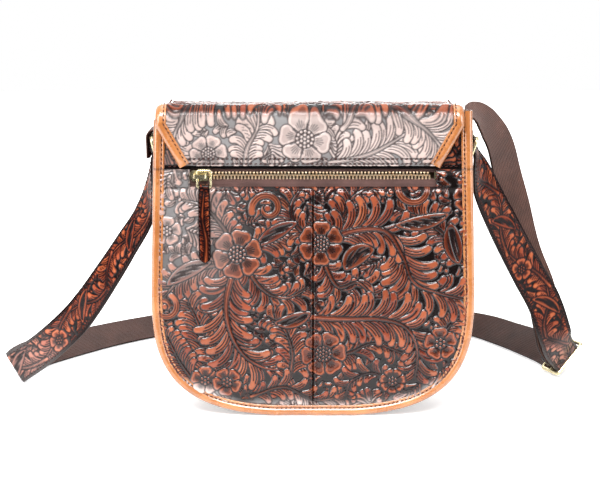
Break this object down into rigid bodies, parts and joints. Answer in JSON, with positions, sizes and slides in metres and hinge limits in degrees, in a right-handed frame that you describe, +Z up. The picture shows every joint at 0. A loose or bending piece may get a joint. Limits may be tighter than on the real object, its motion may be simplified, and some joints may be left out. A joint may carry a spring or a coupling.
{
  "type": "leather sling bag",
  "caption": "Saddle-shaped crossbody bag of tooled leather with tan bound edges, a fold-over flap, a back zip pocket and a shoulder strap on metal rings.",
  "frame": {"origin": "on the floor, at the middle of the flat foot of the back panel's rim", "axes": "+X along the width, towards the side with the strap's tri-glide; +Y from the back panel to the flap's front; +Z up"},
  "size_m": [0.5181, 0.3312, 0.2572],
  "materials": {
    "tooled_leather": "semi-gloss, embossed, brown with a near-black ground",
    "tan_leather": "smooth, waxed tan",
    "gusset_leather": "semi-gloss brown",
    "webbing": "ribbed brown webbing",
    "zip_tape": "woven brown tape",
    "lining_cloth": "plain brown cloth",
    "antique_brass": "polished, pale, slightly aged"
  },
  "bodies": {
    "bag": {"back_panel_left": "tooled_leather", "back_panel_right": "tooled_leather", "back_yoke": "tooled_leather", "back_rim": "tan_leather", "front_panel": "tooled_leather", "front_rim": "tan_leather", "gusset": "gusset_leather", "main_lining": "lining_cloth", "zip_pocket_lining": "lining_cloth", "zip_tape_upper": "zip_tape", "zip_tape_lower": "zip_tape", "zip_teeth_upper": "antique_brass", "zip_teeth_lower": "antique_brass", "zip_stop_start": "antique_brass", "zip_stop_end": "antique_brass", "ring_loop_left": "tan_leather", "ring_loop_right": "tan_leather", "flap_back": "tooled_leather", "flap_lining_back": "lining_cloth", "flap_rim_back_left": "tan_leather", "flap_rim_back_right": "tan_leather", "snap_socket": "antique_brass", "strap_leather": "tooled_leather", "strap_webbing": "webbing", "strap_slider": "antique_brass"},
    "flap_top": {"flap_top": "tooled_leather", "flap_lining_top": "lining_cloth", "flap_rim_top_left": "tan_leather", "flap_rim_top_right": "tan_leather"},
    "flap_front": {"flap_front": "tooled_leather", "flap_lining_front": "lining_cloth", "flap_rim_front": "tan_leather", "snap_stud": "antique_brass", "flap_fold": "tooled_leather", "flap_lining_fold": "lining_cloth", "flap_rim_fold_left": "tan_leather", "flap_rim_fold_right": "tan_leather"},
    "zip_slider": {"zip_slider": "antique_brass"},
    "zip_ring": {"zip_ring": "antique_brass"},
    "zip_pull": {"zip_pull": "tooled_leather"},
    "strap_ring_left": {"strap_ring_left": "antique_brass"},
    "strap_ring_right": {"strap_ring_right": "antique_brass"}
  },
  "joints": [
    {"name": "flap_back_fold", "type": "hinge", "parent": "bag", "child": "flap_top", "pos_m": [-0.0025, 0.00175, 0.2558], "axis": [1, 0, 0], "range_deg": [0, 180]},
    {"name": "flap_front_fold", "type": "hinge", "parent": "flap_top", "child": "flap_front", "pos_m": [-0.0025, 0.06765, 0.2558], "axis": [1, 0, 0], "range_deg": [0, 90]},
    {"name": "zip_slide", "type": "slide", "parent": "bag", "child": "zip_slider", "axis": [1, 0, 0], "range_m": [0, 0.1815], "deforming": ["zip_teeth_upper", "zip_teeth_lower"]},
    {"name": "zip_ring_turn", "type": "hinge", "parent": "zip_slider", "child": "zip_ring", "pos_m": [-0.09305, -0.00445, 0.202], "axis": [0, 0, -1], "range_deg": [0, 90]},
    {"name": "zip_pull_lift", "type": "hinge", "parent": "zip_ring", "child": "zip_pull", "pos_m": [-0.08755, -0.00445, 0.193], "axis": [-1, 0, 0], "range_deg": [0, 90]},
    {"name": "strap_ring_left_turn", "type": "hinge", "parent": "bag", "child": "strap_ring_left", "pos_m": [-0.12658, 0.03355, 0.211], "axis": [0, -1, 0], "range_deg": [-25, 45], "deforming": ["strap_leather", "strap_webbing"]},
    {"name": "strap_ring_right_turn", "type": "hinge", "parent": "bag", "child": "strap_ring_right", "pos_m": [0.12658, 0.03355, 0.211], "axis": [0, 1, 0], "range_deg": [-25, 45], "deforming": ["strap_leather", "strap_webbing"]}
  ]
}
